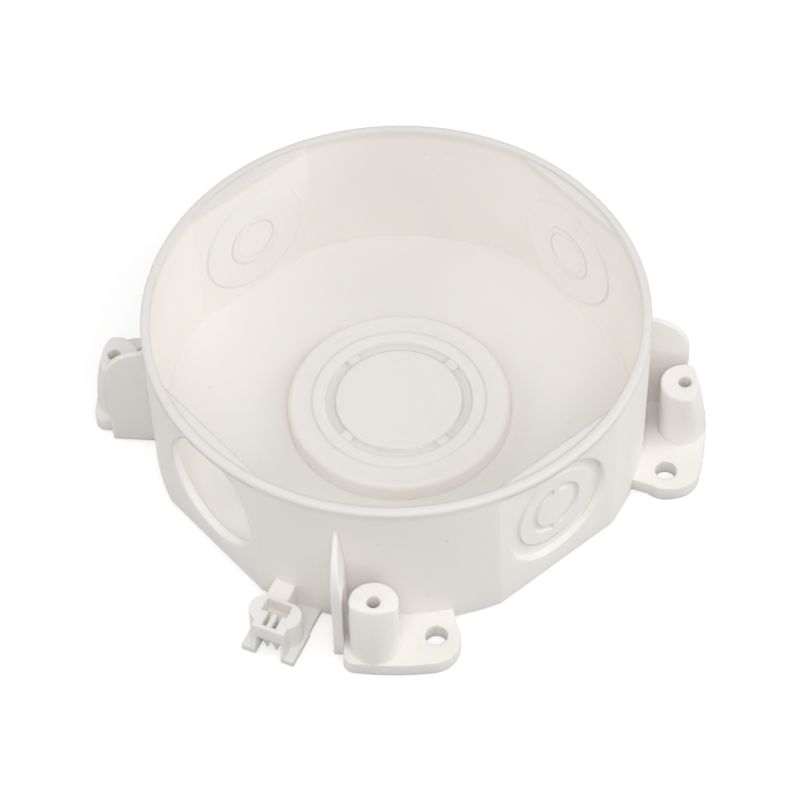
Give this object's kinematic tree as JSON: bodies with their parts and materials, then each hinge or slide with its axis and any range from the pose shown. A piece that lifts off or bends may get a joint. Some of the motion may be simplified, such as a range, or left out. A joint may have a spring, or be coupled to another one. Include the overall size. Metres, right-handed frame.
{
  "type": "switch box",
  "caption": "Round flat-sided wiring box moulded in white plastic, open on top, with fixing ears, screw bosses, fins, knockouts, an open conduit hole and a small clip",
  "frame": {"origin": "on the axis of the round rim, in the plane that the pads under the nail holes stand on", "axes": "+Z points out of the open top, -Y through the open conduit hole, +X through the knockout to its right when looking from above, and the ears stand between the flat sides"},
  "size_m": [0.1098, 0.1145, 0.0372],
  "materials": {
    "shell": "satin white moulded plastic"
  },
  "bodies": {
    "root": {"switch_box": "shell"}
  },
  "joints": []
}
